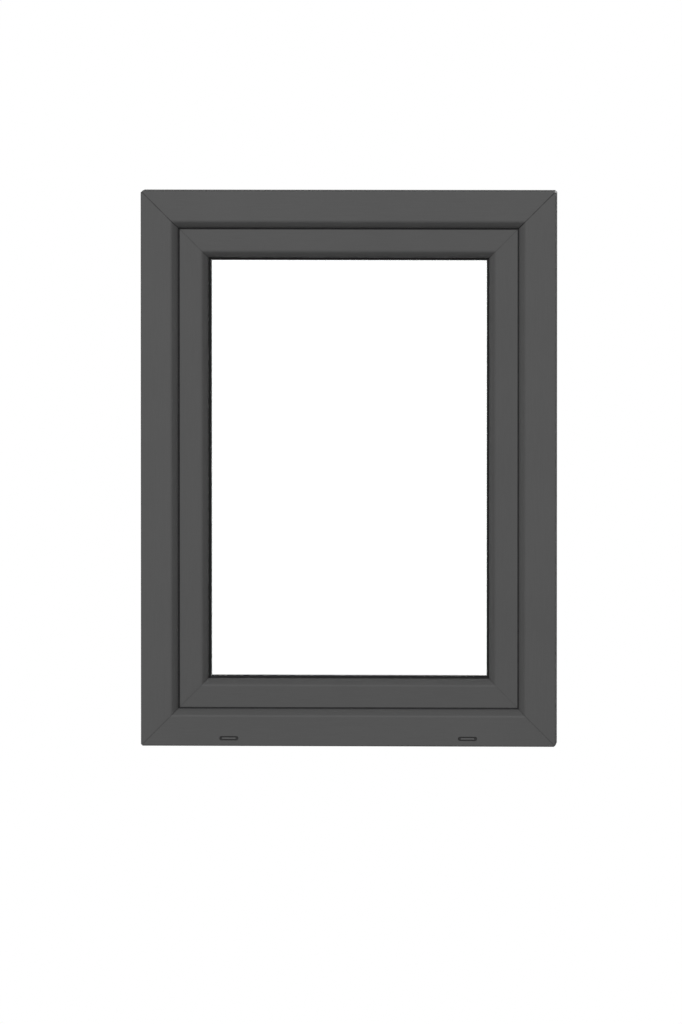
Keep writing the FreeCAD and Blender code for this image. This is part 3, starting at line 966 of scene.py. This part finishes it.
def make_floor(studio):
    """Round floor below the window: rings of radius r at angle t, at one height."""
    radius, centre_hole = 2.4, 0.001
    rings, segments = 12, 96
    reach = np.linspace(centre_hole, radius, rings)[:, None]
    turn = full_turn(segments)[None, :]
    height = np.full((rings, segments), FRAME_BOTTOM - studio.floor_drop)
    points = np.stack([reach * np.cos(turn), reach * np.sin(turn), height], axis=-1)
    upward_faces = turned_faces(rings, segments)[:, ::-1]
    mesh = bpy.data.meshes.new("floor")
    mesh.from_pydata(points.reshape(-1, 3).tolist(), [], upward_faces.tolist())
    mesh.materials.append(floor_material(radius))
    floor = bpy.data.objects.new("floor", mesh)
    bpy.context.scene.collection.objects.link(floor)


def make_lamps(studio, middle):
    """Soft lamps outdoors, in the room and beside the window, placed from the middle of its face.

    The side lamps stand behind the outdoor face, so they light the edges and leave that face to
    the key lamp.
    """
    key_place, key_width = Vector((-1.4, -9.5, 3.7)), 7.2
    front_place, front_width = Vector((-0.3, -6.8, -0.7)), 2.0
    room_place, room_width = Vector((2.1, 2.0, 1.9)), 1.6
    fill_place, fill_width = Vector((-1.6, 9.5, 1.0)), 5.0
    left_place, right_place, side_width = Vector((-3.6, 1.8, 0.4)), Vector((3.6, 1.8, 0.4)), 1.0
    make_lamp("key lamp", middle + key_place, middle, key_width, studio.key_power)
    make_lamp("front lamp", middle + front_place, middle, front_width, studio.front_power)
    make_lamp("room lamp", middle + room_place, middle, room_width, studio.room_power)
    make_lamp("room fill lamp", middle + fill_place, middle, fill_width, studio.room_fill_power)
    make_lamp("left side lamp", middle + left_place, middle, side_width, studio.side_power)
    make_lamp("right side lamp", middle + right_place, middle, side_width, studio.side_power)


def make_lamp(name, place, target, width, power):
    """Square soft lamp that faces the target, unseen by the camera and through glass."""
    lamp = bpy.data.lights.new(name, "AREA")
    lamp.shape = "SQUARE"
    lamp.size = width
    lamp.energy = power
    holder = bpy.data.objects.new(name, lamp)
    holder.location = place
    holder.rotation_euler = (target - place).to_track_quat("-Z", "Y").to_euler()
    holder.visible_camera = False
    holder.visible_transmission = False
    bpy.context.scene.collection.objects.link(holder)


def make_camera(scene, studio, middle):
    """Camera a little to the right and above, with the window where the photograph has it.

    The picture's longer side, its height, takes the whole width of the sensor.
    """
    picture_width, picture_height = 682, 1024
    glass_column, glass_row = 349.0, 468.0
    camera = bpy.data.cameras.new("photo camera")
    camera.sensor_width = 36.0
    height_on_glass = picture_height * studio.metres_per_pixel
    camera.lens = camera.sensor_width * studio.camera_distance / height_on_glass
    camera.clip_end = 100.0
    holder = bpy.data.objects.new("photo camera", camera)
    turn = Euler((math.radians(90.0) - studio.camera_rise, 0.0, studio.camera_turn))
    step_right = (picture_width / 2 - glass_column) * studio.metres_per_pixel
    step_up = (glass_row - picture_height / 2) * studio.metres_per_pixel
    offset = Vector((step_right, step_up, studio.camera_distance))
    offset.rotate(turn)
    holder.rotation_euler = turn
    holder.location = Vector((middle.x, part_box("outer_pane")[0].y, middle.z)) + offset
    scene.collection.objects.link(holder)
    scene.camera = holder


class TILTWINDOW_OT_foil(bpy.types.Operator):
    """Covers the bars of the frame and the sash and the glazing beads with grained foil"""

    bl_idname = "tilt_window.foil"
    bl_label = "Foil the bars"

    def execute(self, context):
        looks = context.scene.window_finish
        frame_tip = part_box("frame_sill")[1].z - FRAME_BOTTOM
        sash_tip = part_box("sash_bottom_rail")[1].z - FRAME_BOTTOM
        # The weld strengths grow from sill to head as painted shade on the mitre grooves.
        frame_look = {"shade": 1.0, "weld_and_shade_strengths": (0.4, 0.95), "tip": frame_tip}
        # The sash's shade is painted shade for its recess behind the frame.
        sash_look = {"shade": looks.sash_painted_shade, "weld_and_shade_strengths": (0.2, 0.35), "tip": sash_tip}
        dress(FRAME_ACROSS, foil("frame foil across", looks, along_x=True, **frame_look))
        dress(FRAME_UPRIGHT, foil("frame foil upright", looks, along_x=False, **frame_look))
        dress(SASH_ACROSS, foil("sash foil across", looks, along_x=True, **sash_look))
        dress(SASH_UPRIGHT, foil("sash foil upright", looks, along_x=False, **sash_look))
        return {"FINISHED"}


class TILTWINDOW_OT_seals(bpy.types.Operator):
    """Makes the seals and the edge sealant black rubber"""

    bl_idname = "tilt_window.seals"
    bl_label = "Finish the seals"

    def execute(self, context):
        looks = context.scene.window_finish
        rebate_paler_share, glazing_paler_share = 0.38, 0.0
        dress(REBATE_SEALS, seal_rubber("rebate seal rubber", looks, rebate_paler_share))
        dress(GLAZING_SEALS, seal_rubber("glazing seal rubber", looks, glazing_paler_share))
        return {"FINISHED"}


class TILTWINDOW_OT_glazing(bpy.types.Operator):
    """Makes the panes clear glass and the spacer bar perforated aluminium"""

    bl_idname = "tilt_window.glazing"
    bl_label = "Finish the glazing"

    def execute(self, context):
        dress(PANES, clear_glass(context.scene.window_finish))
        dress(("spacer_bar",), spacer_metal())
        return {"FINISHED"}


class TILTWINDOW_OT_drain_caps(bpy.types.Operator):
    """Finishes the caps in the drain slots of the sill"""

    bl_idname = "tilt_window.drain_caps"
    bl_label = "Finish the drain caps"

    def execute(self, context):
        dress(DRAIN_CAPS, cap_plastic(context.scene.window_finish))
        return {"FINISHED"}


class TILTWINDOW_OT_fittings(bpy.types.Operator):
    """Makes the rounded castings of the handle, and powder-coats them and the hinges"""

    bl_idname = "tilt_window.fittings"
    bl_label = "Finish the hinges and the handle"

    def execute(self, context):
        sizes = context.scene.window_handle
        coat = powder_coat(context.scene.window_finish)
        dress(FRAME_KNUCKLES + SASH_KNUCKLES + HINGE_PINS, coat)
        lever = surface_piece("lever_casting", [lever_surface(sizes)], coat)
        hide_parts("handle_lever")
        rosette = surface_piece("rosette_casting", rosette_surfaces(sizes), coat)
        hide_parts("handle_rosette")
        return {"FINISHED"}


class TILTWINDOW_OT_hinge_screws(bpy.types.Operator):
    """Adds the screws that hold the hinge plates to the frame and the sash"""

    bl_idname = "tilt_window.hinge_screws"
    bl_label = "Add the hinge screws"

    def execute(self, context):
        sizes = context.scene.window_screws
        plate_thickness = 0.003
        edge_distance = 0.0042
        leaf_row = 0.0125
        frame_rows = (0.2, 0.8)
        sash_rows = ((0.22, edge_distance), (0.78, edge_distance), (0.5, leaf_row))
        places = []
        for name in FRAME_KNUCKLES:
            low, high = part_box(name)
            for share in frame_rows:
                height = low.z + share * (high.z - low.z)
                places.append((low.x + edge_distance, FRAME_ROOM_FACE + plate_thickness, height))
        for name in SASH_KNUCKLES:
            low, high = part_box(name)
            for share, inset in sash_rows:
                height = low.z + share * (high.z - low.z)
                places.append((high.x - inset, SASH_ROOM_FACE + plate_thickness, height))
        surface_piece("hinge_screws", screw_patches(places, sizes), screw_steel())
        return {"FINISHED"}


class TILTWINDOW_OT_stage(bpy.types.Operator):
    """Makes the floor, the white surround, the lamps and the camera"""

    bl_idname = "tilt_window.stage"
    bl_label = "Set up the studio"

    def execute(self, context):
        studio = context.scene.window_studio
        middle_x, middle_z = (FRAME_LEFT + FRAME_RIGHT) / 2, (FRAME_BOTTOM + FRAME_TOP) / 2
        middle = Vector((middle_x, OUTDOOR_FACE, middle_z))
        make_world(context.scene, studio)
        make_floor(studio)
        make_lamps(studio, middle)
        make_camera(context.scene, studio, middle)
        context.scene.view_settings.view_transform = "Standard"
        return {"FINISHED"}


class TILTWINDOW_PT_panel(bpy.types.Panel):
    """Lists the sizes and colours, and the steps that finish the window"""

    bl_idname = "TILTWINDOW_PT_panel"
    bl_label = "Tilt and turn window"
    bl_space_type = "VIEW_3D"
    bl_region_type = "UI"
    bl_category = "Window"

    def draw(self, context):
        scene = context.scene
        groups = (
            scene.window_finish,
            scene.window_screws,
            scene.window_handle,
            scene.window_studio,
        )
        for group in groups:
            box = self.layout.box()
            for name in group.bl_rna.properties.keys():
                if name not in ("rna_type", "name"):
                    box.prop(group, name)
        for step in STEPS:
            self.layout.operator(step.bl_idname)


GROUPS = (WindowFinish, WindowScrews, WindowHandle, WindowStudio)
STEPS = (
    TILTWINDOW_OT_foil,
    TILTWINDOW_OT_seals,
    TILTWINDOW_OT_glazing,
    TILTWINDOW_OT_drain_caps,
    TILTWINDOW_OT_fittings,
    TILTWINDOW_OT_hinge_screws,
    TILTWINDOW_OT_stage,
)
CLASSES = GROUPS + STEPS + (TILTWINDOW_PT_panel,)


def register():
    """Makes the groups, the operators and the panel known, and gives a scene its groups."""
    for item in CLASSES:
        bpy.utils.register_class(item)
    bpy.types.Scene.window_finish = PointerProperty(type=WindowFinish)
    bpy.types.Scene.window_screws = PointerProperty(type=WindowScrews)
    bpy.types.Scene.window_handle = PointerProperty(type=WindowHandle)
    bpy.types.Scene.window_studio = PointerProperty(type=WindowStudio)


def unregister():
    """Takes back what register does, in the opposite order."""
    del bpy.types.Scene.window_studio
    del bpy.types.Scene.window_handle
    del bpy.types.Scene.window_screws
    del bpy.types.Scene.window_finish
    for item in reversed(CLASSES):
        bpy.utils.unregister_class(item)


def main():
    """Finishes the window step by step."""
    register()
    bpy.ops.tilt_window.foil()
    bpy.ops.tilt_window.seals()
    bpy.ops.tilt_window.glazing()
    bpy.ops.tilt_window.drain_caps()
    bpy.ops.tilt_window.fittings()
    bpy.ops.tilt_window.hinge_screws()
    bpy.ops.tilt_window.stage()


if __name__ == "__main__":
    main()
